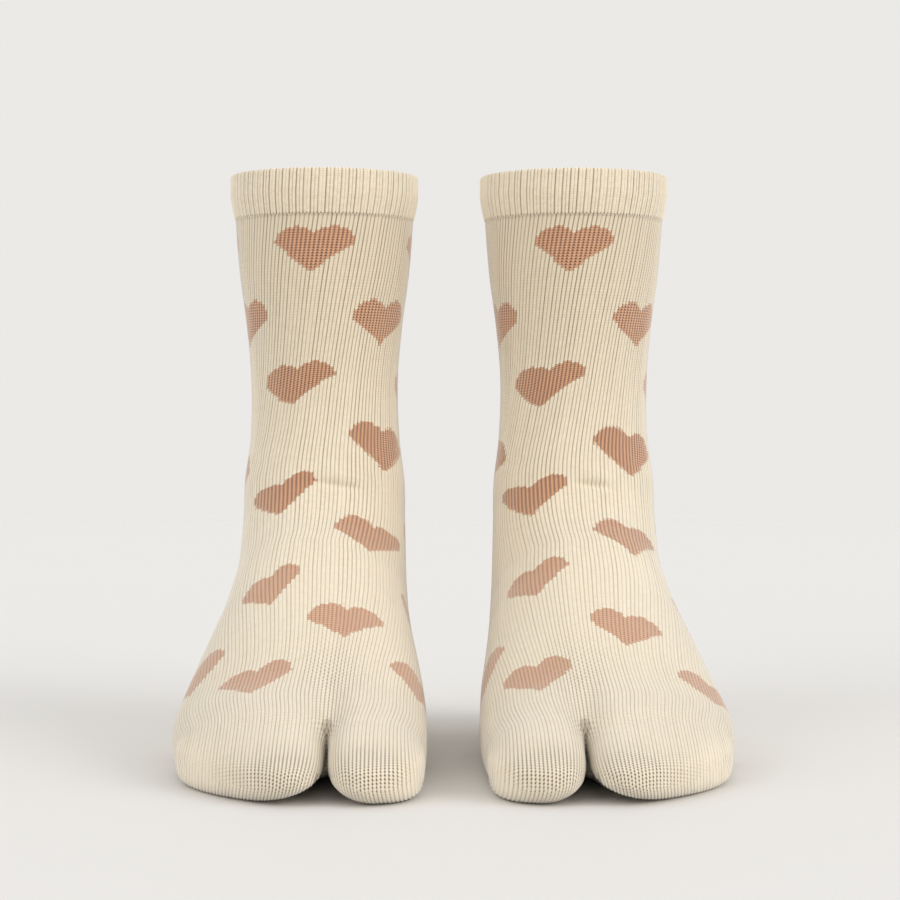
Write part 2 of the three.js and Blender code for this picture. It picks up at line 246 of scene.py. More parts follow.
TWIST = {1: 29.0, -1: -24.5}  # degrees that the wales wind round between the ankle and the cuff
CROWD = 0.55  # how much closer together the wales are on the front of the instep
UNWIND_PLACE, UNWIND_EASE = 5.4, 0.15  # the section where the twist ends, and the share where it eases


def column_angles(place, side, per_wale):
    """The angle of every column of vertices on each section.

    They are evenly turned on the leg, evenly spaced on the foot, parted at the cleft, and wound
    round the leg.
    """
    quarter = WALES / 4
    column = np.arange(WALES * per_wale + 1) / per_wale
    front = mix(LEG_FRONT_WALES / 2, quarter, smooth(place, 5, 13))
    pull = smooth(place, 10, LAST)
    spaced = smooth(place, 9, 14)
    crowd = CROWD * smooth(place, 7, 10) * (1 - smooth(place, 15.5, 18.5))
    tops, soles = cleft_angle(place, True), cleft_angle(place, False)
    fallen, end = (np.interp(at, PLACES, FRONT_ARC) for at in (place, UNWIND_PLACE))
    wound = np.clip(1 - fallen / end, 0, 1)
    wound = np.where(wound < UNWIND_EASE, wound ** 2 / (2 * UNWIND_EASE), wound - UNWIND_EASE / 2) / (
        1 - UNWIND_EASE / 2)
    turned = np.linspace(-pi / 2, 1.5 * pi, 361)
    angle = np.empty((len(place), len(column)))
    for r, here in enumerate(place):
        sides = [quarter - front[r], quarter + front[r], quarter - front[r] + WALES]
        quarters = [-pi / 2, pi / 2, 1.5 * pi]
        top, sole = np.interp([CLEFT_WALE, WALES - CLEFT_WALE], sides, quarters)
        marks = [quarters[0], mix(top, tops[r], pull[r]),
                 quarters[1], mix(sole, soles[r], pull[r]), quarters[2]]
        knots = [sides[0], CLEFT_WALE, sides[1], WALES - CLEFT_WALE, sides[2]]
        steps = np.diff(lengths(section_point(np.full_like(turned, here), turned)))
        weight = 1 + crowd[r] * np.maximum(np.cos((turned[1:] + turned[:-1]) / 2), 0) ** 2
        arc = np.insert(np.cumsum(steps * weight), 0, 0)
        late = column >= sides[0]
        at = np.where(late, column, column + WALES)
        evenly_turned = np.interp(at, knots, marks)
        evenly_spaced = np.interp(np.interp(at, knots, np.interp(marks, turned, arc)), arc, turned)
        angle[r] = mix(evenly_turned, evenly_spaced, spaced[r]) - np.where(late, 0, 2 * pi)
    return angle + np.radians(TWIST[side]) * wound[:, None]


def cleft_angle(place, on_top):
    """The angle at which each section passes over or under the cleft, by halving."""
    low = np.full_like(place, -1 if on_top else pi + 1)
    high = np.full_like(place, 1 if on_top else pi - 1)
    for _ in range(40):
        middle = (low + high) / 2
        below = section_point(place, middle)[..., 0] < CLEFT_X
        low, high = np.where(below, middle, low), np.where(below, high, middle)
    return (low + high) / 2


def closed(grid):
    """A grid whose first column comes again after its last."""
    return np.concatenate([grid, grid[:, :1]], 1)


def plain_maps(u, v):
    """The coordinates of knitting without hearts."""
    return np.stack([np.broadcast_to(u, v.shape), v, np.zeros_like(v), np.full_like(v, NO_HEARTS)], -1)


def corners_of(grid, flip=False):
    """The values of a grid of vertices at the four corners of each of its quads."""
    cut = (slice(None, -1), slice(1, None))
    order = [(0, 0), (1, 0), (1, 1), (0, 1)]
    if flip:
        order.reverse()
    return np.stack([grid[cut[a], cut[b]] for a, b in order], 2).reshape(-1, 4, *grid.shape[2:])


class Knit:
    """Gathers one piece's vertices and quads, with the corner coordinates that the material reads."""

    def __init__(self):
        self.points, self.quads, self.corners, self.count = [], [], [], 0

    def add(self, points):
        """Adds vertices and gives their indices."""
        points = np.asarray(points, float).reshape(-1, 3)
        self.points.append(points)
        self.count += len(points)
        return np.arange(self.count - len(points), self.count)

    def join(self, quads, corners):
        self.quads.append(quads)
        self.corners.append(corners)

    def arrays(self):
        return tuple(np.concatenate(part) for part in (self.points, self.quads, self.corners))


def vertex_normals(points, quads):
    a, b, c, d = (points[quads[:, k]] for k in range(4))
    face = np.cross(c - a, d - b)
    normals = np.zeros_like(points)
    for k in range(4):
        np.add.at(normals, quads[:, k], face)
    return normals / np.maximum(np.linalg.norm(normals, axis=1, keepdims=True), 1e-12)


# Hearts: for each row, where its first heart lies, in wales from the front of the foot, and how many
# wales on the next ones lie to either side; their width and height; how much lower than even the row
# is, and how much lower still it lies to one side of the front, both in rows; and how they slant.
HEART_ROWS = {
    1: [(-10.1, 43, 0.85, 1, 0, 0, 0), (12.7, 45, 0.92, 1, 0.03, 0, 0), (-11.8, 42, 0.97, 1, 0, 0, 0),
        (13.2, 46, 0.9, 1, 0.05, 0, -0.2), (-12, 44, 0.88, 1.1, 0.02, 0.1, 0.1),
        (11.1, 48, 0.83, 1.35, 0.02, 0, -0.5), (-13.2, 41, 0.74, 1, -0.03, 0.1, 0),
        (7.8, 41, 0.85, 1, 0.1, 0, 0), (-17.4, 47, 0.92, 1.1, -0.06, 0, 0)],
    -1: [(9.2, 36, 0.88, 1, 0, 0, 0), (-12.5, 42, 0.9, 1, 0, 0, 0), (9.3, 42, 0.95, 1, 0, 0, 0),
        (-15.8, 46, 1.05, 1, 0.03, 0.2, 0.2), (9.8, 46, 0.79, 1.15, 0.02, 0, 0),
        (-13.5, 48, 0.9, 1.35, -0.1, 0.1, 0.5), (9.9, 40, 0.66, 1.05, 0.09, 0.3, 0),
        (-8.5, 40, 0.89, 1, 0.05, 0.3, 0), (12.6, 44, 0.86, 1.15, -0.08, 0.5, -0.2)],
}
HEART_REACH = 11.0  # wales from a heart's middle to its side, with a little to spare
HEART_DEPTH = 0.36  # rows, from a heart's middle to its point, with a little to spare
SLANT_SPAN, SLANT_FADE = 20, 15  # wales, over which a heart's slant is stated, and fades beside it


def motif_at(side, wale, course):
    """Where a point lies in the repeat: (hearts round, rows down). Rows stagger by half a repeat."""
    table = np.array(HEART_ROWS[side], float)
    middles = np.arange(len(table)) + table[:, 4]
    edges = (middles[1:] + middles[:-1]) / 2
    rows = (course - FIRST_HEARTS) / ROW_COURSES
    half_turn = WALES / 2
    from_front = np.mod(wale - WALES / 4 + half_turn, WALES) - half_turn
    rows = rows - np.interp(rows, middles, table[:, 5]) * np.sin(2 * pi / WALES * from_front)
    row = np.searchsorted(edges, rows)
    start, apart, width, height, _, _, slant = table[row].transpose(2, 0, 1)
    from_heart = np.mod(from_front - start + half_turn, WALES) - half_turn
    # hearts keep their width, and the cream between them takes up the uneven spacing
    reach, share = HEART_REACH * width, HEART_REACH * HEARTS_ROUND / WALES
    ends = [0 * reach, reach, apart - reach, apart + reach, half_turn - reach, half_turn + 0 * reach]
    marks = [0, share, 1 - share, 1 + share, 2 - share, 2]
    far = np.abs(from_heart)
    round_ = np.zeros_like(far)
    for low, high, start_mark, end_mark in zip(ends, ends[1:], marks, marks[1:]):
        round_ += (end_mark - start_mark) * np.clip((far - low) / (high - low), 0, 1)
    # and the same down the rows
    lower = rows - middles[row]
    above = np.concatenate([[middles[0] - 0.5], edges])[row]
    beyond = np.concatenate([edges, [middles[-1] + 0.5]])[row]
    half = np.where(lower < 0, middles[row] - above, beyond - middles[row])
    within = 1 - np.minimum(np.abs(lower) / half, 1) ** 3
    lower = lower - within * slant * from_heart / SLANT_SPAN * np.exp(-(from_heart / SLANT_FADE) ** 2)
    deep, reach = np.abs(lower), HEART_DEPTH * height
    beyond = HEART_DEPTH + (deep - reach) * (0.5 - HEART_DEPTH) / (half - reach)
    deep = np.where(deep < reach, deep / height, beyond)
    return np.stack([np.sign(from_heart) * round_, row + np.sign(lower) * deep], -1)


# Hearts past these degrees from the front, by rows, are set square to their own wales.
SQUARED_BEHIND = {3: 60, 4: 60, 5: 60, 6: 60, 7: 75, 8: 75}
LEANING, LEANING_WIDTH = {3: 7.0}, 1.33  # a front heart set so too: degrees it falls outward, and width
HEEL_ROWS, HEEL_BEHIND = (4, 5), 120  # their hearts past these degrees would fall on the plain heel
SQUARED_WALE, SQUARED_COURSE = 1.3, 1.17  # millimetres, the even gauge that those hearts are drawn to
SQUARED_EDGE = 0.49  # of a repeat, where such a heart's own cell ends
SQUARED_REACH = 26.0  # millimetres from a heart's middle, beyond which the knit is plain
SQUARED_SPAN = 3  # rings or columns to either side of a heart's middle, which give its directions


def squared_up(side, motif, tube, turned, wale):
    """The motif with the hearts beside and behind the ankle, where courses fan out, set square.

    Each is drawn again by its distances in millimetres down and across the wale at its middle.
    """
    squared, span = motif.copy(), SQUARED_SPAN
    row, heart = np.round(motif[..., 1]), np.round(motif[..., 0])
    for r, behind in SQUARED_BEHIND.items():
        for h in (-1, 0, 1, 2):
            own = (row == r) & ((heart == h) | ((abs(heart) == 2) & (h == 2)))
            off = np.hypot(np.abs(motif[..., 0]) - abs(h), motif[..., 1] - r)
            middle = np.unravel_index(np.argmin(np.where(own, off, np.inf)), off.shape)
            i, k = np.clip(middle, span, np.array(off.shape) - 1 - span)
            if (r not in LEANING) if h == 0 else abs(turned[i, k]) < radians(behind):
                continue
            down = tube[i + span, k] - tube[i - span, k]
            down /= np.linalg.norm(down)
            over = (tube[i, k + span] - tube[i, k - span]) / (wale[i, k + span] - wale[i, k - span])
            gauge = np.linalg.norm(over - (over @ down) * down)
            from_heart = np.mod(wale - wale[i, k] + WALES / 2, WALES) - WALES / 2
            across, lower = from_heart * gauge, (tube - tube[i, k]) @ down
            if h == 0:
                lower = lower - across * side * tan(radians(LEANING[r]))
                across = across / LEANING_WIDTH
            round_ = across / SQUARED_WALE * HEARTS_ROUND / WALES
            near = np.linalg.norm(tube - tube[i, k], axis=-1) < SQUARED_REACH
            if r in HEEL_ROWS and abs(turned[i, k]) > radians(HEEL_BEHIND):
                near[:] = False
            lower = np.where(near, lower / SQUARED_COURSE / ROW_COURSES, SQUARED_EDGE)
            at = np.where(motif[..., 0] < 0, -2, 2) if h == 2 else h
            squared[own, 0] = (at + np.clip(round_, -SQUARED_EDGE, SQUARED_EDGE))[own]
            squared[own, 1] = (r + np.clip(lower, -SQUARED_EDGE, SQUARED_EDGE))[own]
    return squared


CREASE_PLACE, CREASE_REACH, CREASE_FINER = 5.8, 0.8, 1.6  # where rings lie closer, in sections
STEP = 0.25  # of a repeat, more than any quad spans within one heart's cell
TOE_COURSE = 1.4  # millimetres between courses on the toes
TOE_EASE = 15.0  # millimetres above a pocket's corner, over which its top takes on the toes' slope


def in_heel_pocket(where, turned):
    """Whether points lie in the heel pocket, by their sections and their turn from the front."""
    away = np.abs(turned)
    down = np.clip((where - GORE_TOP) / (GORE_END - GORE_TOP), 0, 1)
    end = mix(GORE_END, HEEL_END, smooth(away, radians(80), radians(140)))
    return (away > HEEL_EDGE + HEEL_BULGE * np.sin(pi * down)) & (where > GORE_TOP) & (where < end)


def loft_tube(knit, side, per_wale, rings):
    """The leg and the foot, as far as the roots of the toes.

    Gives the top ring's vertices, and the last ring's vertices, points, wales, courses and headings.
    """
    arc = (FRONT_ARC + BACK_ARC) / 2
    finer = 1 + CREASE_FINER * np.exp(-((PLACES[1:] - CREASE_PLACE) / CREASE_REACH) ** 2)
    arc = np.insert(np.cumsum(np.diff(arc) * finer), 0, 0)
    place = np.interp(np.linspace(0, arc[-1], rings), arc, PLACES)
    angle = column_angles(place, side, per_wale)
    where = np.broadcast_to(place[:, None], angle.shape)
    tube = section_point(where, angle)
    index = closed(knit.add(tube[:, :-1]).reshape(rings, -1))
    wale = np.broadcast_to(np.arange(angle.shape[1]) / per_wale, angle.shape)
    turned = np.mod(angle + pi, 2 * pi) - pi  # 0 at the front, pi at the back
    course = course_at(where, turned)
    motif = squared_up(side, motif_at(side, wale, course), tube, turned, wale)
    maps = np.concatenate([wale[..., None], course[..., None], motif], -1)
    heel_maps = maps.copy()
    heel_maps[..., 1] = heel_course_at(where)
    heel_maps[..., 3] = NO_HEARTS
    in_pocket = corners_of(in_heel_pocket(where, turned)).all(axis=1)
    corners = np.where(in_pocket[:, None, None], corners_of(heel_maps), corners_of(maps))
    # at the back the count of hearts goes from one half turn to the other: no quad may span the step
    round_, down = corners[..., 2], corners[..., 3]
    round_ += HEARTS_ROUND * (round_.max(axis=1, keepdims=True) - round_ > HEARTS_ROUND / 2)
    # nor any other step, from one heart's cell to the next: such quads lie between two rows
    step = (np.ptp(round_, axis=1) > STEP) | (np.ptp(down, axis=1) > STEP)
    down[step] = np.floor(down[step].mean(axis=1, keepdims=True)) + 0.5
    knit.join(corners_of(index), corners)

    heading = tube[-1] - tube[-2]
    heading /= np.linalg.norm(heading, axis=1, keepdims=True)
    return index[0], (index[-1], tube[-1], wale[-1], course[-1], heading)


def first_ring(big, root, web, per_wale):
    """A toe pocket's first ring, from its first corner over the top and back under the sole."""
    columns, on_top, count = WALES * per_wale, CLEFT_WALE * per_wale, len(web[0])
    on_sole, middle = columns - on_top, count // 2
    wale = CLEFT_WALE + (1 if big else -1) * np.arange(1, count + 1) / per_wale
    web = (*web[:2], wale, web[2], np.tile([0.0, -1.0, 0.0], (count, 1)))
    tube, across = np.arange(columns), np.arange(count) + columns
    if big:
        order = [tube[:on_top + 1], across, tube[on_sole:]]
    else:
        order = [across[middle::-1], tube[on_top:on_sole + 1], across[:middle:-1]]
    order = np.concatenate(order)
    return [np.concatenate([a[:columns], b])[order] for a, b in zip(root, web)]


def loft_pocket(knit, big, ring, bridge_rings, cap_rings):
    """A closed toe pocket, from its first ring over a bridge and a cap to the seam under its front."""
    pocket = BIG_TOE if big else SMALL_TOES
    ids, start, wale, course, heading = ring
    n = len(ids)
    steps = n // 2
    k = np.arange(n)
    over = k <= steps
    turn = np.where(over, k, n - k) / steps
    if big:
        turn = 1 - turn
    # evenly spaced round the pocket's base, above and below
    fine = np.linspace(0, pi, 241)
    arcs = [lengths(pocket_point(pocket, fine, tilt)) for tilt in (0.0, pi)]
    spread_top, spread_sole = (np.interp(turn * arc[-1], arc, fine) for arc in arcs)

    def cap_ring(done):
        """The pocket's points at a share of the way from its base to its seam."""
        across = np.where(over, spread_top, mix(spread_sole, spread_top, done))
        seam = pi / 2 + SEAM_DROP * np.sin(across)
        return pocket_point(pocket, across, mix(np.where(over, 0.0, pi), seam, done))

    base = cap_ring(0.0)
    length = np.linalg.norm(base - start, axis=1, keepdims=True)
    forward = np.zeros((n, 3))
    forward[:, 1] = -1
    forward[:, 2] = -TOE_SLOPE * np.clip((base[:, 2] - pocket["web_corner"]) / TOE_EASE, 0, 1)
    rings = [start]
    for t in np.linspace(0, 1, bridge_rings + 1)[1:-1]:  # a cubic that leaves and arrives along both
        rings.append((2 * t ** 3 - 3 * t ** 2 + 1) * start + (t ** 3 - 2 * t ** 2 + t) * heading * length
                     + (3 * t ** 2 - 2 * t ** 3) * base + (t ** 3 - t ** 2) * forward * length)
    rings += [cap_ring(done) for done in np.linspace(0, 1, cap_rings + 1)]
    rings = np.array(rings)
    rings[..., 2] = np.maximum(rings[..., 2], 0)

    grown = course + lengths(rings) / TOE_COURSE
    index = [ids] + [knit.add(points) for points in rings[1:-1]]
    seam = knit.add(rings[-1][:steps + 1])
    index = np.array(index + [np.concatenate([seam, seam[1:-1][::-1]])])
    maps = plain_maps(np.append(wale, 2 * wale[-1] - wale[-2]), closed(grown))
    knit.join(corners_of(closed(index)), corners_of(maps))


def loft_body(side, per_wale, rings, bridge_rings, cap_rings):
    """A body's surface: the tube, parted at the cleft by a web, and two closed toe pockets."""
    knit = Knit()
    rim, root = loft_tube(knit, side, per_wale, rings)
    on_top = CLEFT_WALE * per_wale
    on_sole = WALES * per_wale - on_top
    down = np.linspace(0, 1, 2 * WEB_WALES * per_wale + 1)[1:-1]
    points = mix(root[1][on_top], root[1][on_sole], down[:, None])
    web = knit.add(points), points, mix(root[3][on_top], root[3][on_sole], down)
    for big in (True, False):
        loft_pocket(knit, big, first_ring(big, root, web, per_wale), bridge_rings, cap_rings)
    return (rim, *knit.arrays())


RELIEF = 0.2  # half the depth of the ridge that a wale makes
ROOTS_FRONT, ROOTS_BACK, ROOTS_OUTER = -154, 26, 52  # a line across the roots of the toes
RELAX_STEP = 0.6
# The stretched patches: how far open, where, and how far they reach each way.
TOE_PATCHES = [(1.7, (-24, -190, 15), (13, 14, 9)), (1.7, (7, -190, 13), (14, 14, 8.5)),
               (0.55, (30, -180, 10), (16, 16, 8))]
VALLEY_PATCHES = [(1.0, (CLEFT_X, -128, 40), (13, 24, 18)), (1.2, (CLEFT_X, -152, 22), (5, 9, 9))]
VALLEY_MOST, TOES_ALONE = 1.2, 0.08


def openness(points):
    """How far the knit is stretched open: above 0 on the toe tips, below 0 over the cleft."""
    toes, valley = (sum(much * np.exp(-(((points - place) / reach) ** 2).sum(axis=1))
                        for much, place, reach in patches)
                    for patches in (TOE_PATCHES, VALLEY_PATCHES))
    return np.clip(toes, 0, 1) - np.clip(valley, 0, VALLEY_MOST) * (toes < TOES_ALONE)


def round_roots(points, quads, rounds):
    """Rounds off the roots of the toes, away from the floor, by relaxing the surface there."""
    x, y, z = points.T
    outward = np.maximum(x - CLEFT_X, 0) / (ROOTS_OUTER - CLEFT_X)
    from_root = y - (ROOTS_FRONT + ROOTS_BACK * outward ** SLANT_POWER)
    share = smooth(from_root, -26, -8) * (1 - smooth(from_root, 4, 16)) * (z > 0.5) * smooth(z, 2, 8)
    a, b = quads.T.ravel(), np.roll(quads, -1, 1).T.ravel()
    one, other = np.concatenate([a, b]), np.concatenate([b, a])
    near = np.bincount(one, minlength=len(points))
    points = points.copy()
    for _ in range(rounds):
        for axis in range(3):
            mean = np.bincount(one, points[other, axis], len(points)) / near
            points[:, axis] += share * RELAX_STEP * (mean - points[:, axis])
    return points


# Soft folds, each along a line in the sock's own axes: from, to, height (a trough is negative), width.
FOLDS = {
    1: [(-1, -39, 112, 12, -38, 110.5, -1.8, 1.6), (-1, -38.5, 117, 15, -37, 115, 0.7, 3.5),
        (-30, -20, 118, -22, -32, 124, -0.6, 3.0), (24, -30, 122, 32, -18, 117, -0.6, 3.0),
        (-16, 33, 104, 14, 34, 110, -0.9, 4.0), (-14, 34, 90, 18, 33, 84, -0.7, 4.0),
        (48, -150, 3, 50, -140, 11, -0.8, 1.8), (45, -158, 3, 49, -149, 12, -0.7, 1.8)],
    -1: [(1, -39, 112.5, -16, -37, 109.5, -1.8, 1.6), (2, -38.5, 117, -17, -36, 114, 0.7, 3.5),
         (-27, -27, 112, -20, -33, 120, -0.6, 3.0), (22, -30, 118, 31, -20, 122, -0.6, 3.0),
         (-15, 33, 108, 16, 33, 103, -0.9, 4.0), (-17, 33, 86, 12, 34, 91, -0.7, 4.0),
         (48, -150, 3, 50, -141, 11, -0.8, 1.8), (45, -158, 3, 49, -150, 12, -0.8, 1.8),
         (40, -165, 3, 46, -157, 11, -0.6, 1.8)],
}
FOLD_ENDS = 0.35  # of its height, where a fold ends


def folded(points, normals, side):
    """Points pushed out along the ridges and in along the troughs."""
    away = np.zeros(len(points))
    for *ends, height, width in FOLDS[side]:
        start, end = np.array(ends, float).reshape(2, 3)
        line = end - start
        along = np.clip((points - start) @ line / (line @ line), 0, 1)
        gap = np.linalg.norm(points - start - along[:, None] * line, axis=1)
        away += height * np.exp(-(gap / width) ** 2) * mix(FOLD_ENDS, 1, np.sin(pi * along))
    return points + normals * away[:, None]


def add_object(name, data):
    thing = bpy.data.objects.new(name, data)
    bpy.context.scene.collection.objects.link(thing)
    return thing


def make_piece(name, side, points, parts, slots, materials):
    """An object in metres, in its place beside the other sock. Parts are faces and their corners."""
    points = points + [LEG_SPACING / 2, OFFSET_Y, 0]
    points[:, 0] *= side
    faces = [face for part, _ in parts for face in part.tolist()]
    corners = np.concatenate([part.reshape(-1, 4) for _, part in parts])
    mesh = bpy.data.meshes.new(name)
    mesh.from_pydata((points * MM).tolist(), [], faces)
    for label, cut in (("Knit", slice(0, 2)), ("Motif", slice(2, 4))):
        layer = mesh.uv_layers.new(name=label)
        layer.data.foreach_set("uv", corners[:, cut].astype(np.float32).ravel())
    mesh.polygons.foreach_set("material_index", slots)
    mesh.polygons.foreach_set("use_smooth", np.ones(len(faces), bool))
    mesh.update()
    if side < 0:
        mesh.flip_normals()
    for material in materials:
        mesh.materials.append(material)
    return add_object(name, mesh)


OUTSIDE = dict(per_wale=2, rings=200, bridge_rings=8, cap_rings=22)
INSIDE = dict(per_wale=1, rings=90, bridge_rings=4, cap_rings=10)
OUTSIDE_ROUNDS, INSIDE_ROUNDS = 60, 15  # of smoothing at the toes' roots


def shaped(side, rounds, fineness):
    """A body's surface with its roots rounded and its folds."""
    rim, points, quads, corners = loft_body(side, **fineness)
    points = round_roots(points, quads, rounds)
    return rim, folded(points, vertex_normals(points, quads), side), quads, corners


def make_body(name, side, materials):
    rim, points, quads, corners = shaped(side, OUTSIDE_ROUNDS, OUTSIDE)
    # ridges and grooves of the wales, on every other column
    wale = corners[..., 0].ravel()
    crest = np.zeros(len(points))
    crest[quads.ravel()] = np.where(np.abs(wale - np.floor(wale) - 0.5) < 0.01, 1.0, -1.0)
    opened = openness(points)
    points = points + vertex_normals(points, quads) * (RELIEF * crest)[:, None]
    points[:, 2] = np.maximum(points[:, 2], 0)

    inner_rim, inner, inner_quads, inner_corners = shaped(side, INSIDE_ROUNDS, INSIDE)
    top = inner[inner_rim[:-1], 2].copy()
    inner = inner - vertex_normals(inner, inner_quads) * WALL
    inner[inner_rim[:-1], 2] = top

    # the rim, two outside columns to each inside one
    inner_rim, inner_quads = inner_rim + len(points), inner_quads[:, ::-1] + len(points)
    a, b, c, d, e = rim[:-1:2], rim[1::2], rim[2::2], inner_rim[:-1], inner_rim[1:]
    triangles = np.stack([b, a, d, b, d, e, c, b, e], -1).reshape(-1, 3)
    rim_corners = np.zeros((len(triangles), 3, 4))
    rim_corners[..., 0] = np.repeat(np.arange(WALES), 3)[:, None]
    rim_corners[..., 3] = NO_HEARTS
    parts = [(quads, corners), (inner_quads, inner_corners[:, ::-1]), (triangles, rim_corners)]
    slots = np.repeat([0, 1], [len(quads), len(inner_quads) + len(triangles)])
    piece = make_piece(name, side, np.concatenate([points, inner]), parts, slots, materials)
    layer = piece.data.attributes.new("open", "FLOAT", "POINT")
    layer.data.foreach_set("value", np.concatenate([opened, np.zeros(len(inner))]).astype(np.float32))
    return piece


RIBS, PER_RIB = WALES // 2, 10
RIB_DEPTH, RIB_WIDTH = 0.45, 0.12  # the groove beside a rib
SPLIT_DEPTH, SPLIT_WIDTH = 0.14, 0.1  # and the line between its two wales
RIB_LEAN = 0.06  # how much further round the cuff's top winds, as a share of the leg's twist
RIM_RELIEF = 0.35  # of the ribs' relief, that is left on the very top
CUFF_FOOT = 225.2
DRAW_IN, DRAW_IN_TOP, DRAW_IN_FOOT = 1.9, 236, 226  # of the lower edge to the leg, and from where
DRAW_IN_POWER = 1.3
RIB_COURSE = 1.05  # millimetres between courses


def make_cuff(name, side, materials):
    rounding = CUFF_WALL / 2
    shoulder = HEIGHT - rounding

    def drawn_in(z):
        share = np.clip((DRAW_IN_TOP - z) / (DRAW_IN_TOP - DRAW_IN_FOOT), 0, 1)
        return DRAW_IN * share ** DRAW_IN_POWER

    # the profile: how far in from the CAD's outside, and how high
    outer = [(2.75, CUFF_FOOT), (2.3, CUFF_FOOT + 0.2), (2.0, CUFF_FOOT + 0.6)]
    outer += [(drawn_in(z), z) for z in np.linspace(CUFF_FOOT + 1.2, shoulder, 16)]
    rim = [(rounding * (1 - cos(a)), shoulder + rounding * sin(a))
           for a in np.radians(np.arange(22.5, 180, 22.5))]
    inner = [(CUFF_WALL, z) for z in np.linspace(shoulder, CUFF_FOOT + 0.5, 10)]
    profile = np.array(outer + rim + inner + [(CUFF_WALL + 0.1, CUFF_FOOT)])
    inset, z = profile.T[..., None]
    phase = np.arange(RIBS * PER_RIB + 1) / PER_RIB
    beside, between = np.abs(phase - np.round(phase)), np.abs(phase - np.floor(phase) - 0.5)
    relief = (-RIB_DEPTH * np.exp(-(beside / RIB_WIDTH) ** 2)
              - SPLIT_DEPTH * np.exp(-(between / SPLIT_WIDTH) ** 2))
    outwards = np.where(np.arange(len(profile)) < len(outer) + len(rim) // 2, 1, -1)[:, None]
    away = relief * outwards * mix(RIM_RELIEF, 1, np.minimum(1, np.abs(z - HEIGHT) / 1.2))
    turn = phase / RIBS * 2 * pi - pi / 2 + radians(TWIST[side]) * (
        1 + RIB_LEAN * (z - CUFF_FOOT) / CUFF_HEIGHT)
    grid = np.stack([np.sin(turn) * (CUFF_HALF_WIDTH - inset + away),
                     -np.cos(turn) * (CUFF_HALF_DEPTH - inset + away),
                     np.broadcast_to(z, turn.shape)], -1)

    knit = Knit()
    index = closed(knit.add(grid[:, :-1]).reshape(len(profile), -1))
    index = np.concatenate([index, index[:1]])
    up = lengths(profile)
    up = np.append(up, up[-1] + 0.5)
    maps = plain_maps(phase, np.broadcast_to(up[:, None] / RIB_COURSE, index.shape))
    knit.join(corners_of(index, flip=True), corners_of(maps, flip=True))
    points, *part = knit.arrays()
    return make_piece(name, side, points, [part], np.zeros(len(part[0]), int), materials)


def arithmetic(operation, clamp=False):
    """A method of Value that adds a Math node."""
    def method(self, *others):
        node = self.tree.nodes.new("ShaderNodeMath")
        node.operation, node.use_clamp = operation, clamp
        for slot, other in enumerate((self, *others)):
            if isinstance(other, Value):
                self.tree.links.new(other.socket, node.inputs[slot])
            else:
                node.inputs[slot].default_value = other
        return Value(self.tree, node.outputs[0])
    return method


class Value:
    """A number in a node tree. Arithmetic on it adds Math nodes."""

    def __init__(self, tree, socket):
        self.tree, self.socket = tree, socket

    __add__, __sub__ = arithmetic("ADD"), arithmetic("SUBTRACT")
    __mul__, __truediv__ = arithmetic("MULTIPLY"), arithmetic("DIVIDE")
    __pow__, __abs__ = arithmetic("POWER"), arithmetic("ABSOLUTE")
    fract, floor = arithmetic("FRACT"), arithmetic("FLOOR")
    most, above = arithmetic("MAXIMUM"), arithmetic("GREATER_THAN")
    clamped_sum = arithmetic("ADD", clamp=True)

    def __rsub__(self, other):
        return self * -1 + other

    def clamped(self):
        return self.clamped_sum(0.0)

    def ramp(self, low, high):
        """0 below low and 1 above high, smooth between."""
        node = self.tree.nodes.new("ShaderNodeMapRange")
        node.interpolation_type = "SMOOTHSTEP"
        self.tree.links.new(self.socket, node.inputs["Value"])
        settle(node, From_Min=low, From_Max=high)
        return Value(self.tree, node.outputs["Result"])


def blend_colour(share, first, second):
    node = share.tree.nodes.new("ShaderNodeMix")
    node.data_type = "RGBA"
    sockets = {socket.identifier: socket for socket in node.inputs}
    share.tree.links.new(share.socket, sockets["Factor_Float"])
    for name, colour in (("A_Color", first), ("B_Color", second)):
        if isinstance(colour, Value):
            share.tree.links.new(colour.socket, sockets[name])
        else:
            sockets[name].default_value = (*colour, 1)
    return Value(share.tree, next(s for s in node.outputs if s.identifier == "Result_Color"))


def settle(node, **values):
    """Sets a node's own sockets."""
    for name, value in values.items():
        node.inputs[name.replace("_", " ")].default_value = value


def new_material(name):
    material = bpy.data.materials.new(name)
    material.use_nodes = True
    return material, material.node_tree, material.node_tree.nodes["Principled BSDF"]


def at_place(values, node, output):
    """A texture node's output at the place that the values give."""
    tree = values[0].tree
    join = tree.nodes.new("ShaderNodeCombineXYZ")
    for slot, value in enumerate(values):
        tree.links.new(value.socket, join.inputs[slot])
    tree.links.new(join.outputs[0], node.inputs["Vector"])
    return Value(tree, node.outputs[output])


def pair(tree, uv_map):
    """The two coordinates of a UV map."""
    node = tree.nodes.new("ShaderNodeUVMap")
    node.uv_map = uv_map
    split = tree.nodes.new("ShaderNodeSeparateXYZ")
    tree.links.new(node.outputs[0], split.inputs[0])
    return Value(tree, split.outputs[0]), Value(tree, split.outputs[1])


def noise(u, v, scale, detail=2):
    """Smoothly random from about 0.2 to 0.8."""
    node = u.tree.nodes.new("ShaderNodeTexNoise")
    settle(node, Scale=scale, Detail=detail)
    return at_place((u, v), node, 0)


def whim(*numbers):
    """Random from 0 to 1, the same all over the wale or stitch whose one or two numbers are given."""
    node = numbers[0].tree.nodes.new("ShaderNodeTexWhiteNoise")
    node.noise_dimensions = "2D"
    return at_place(numbers, node, "Value")


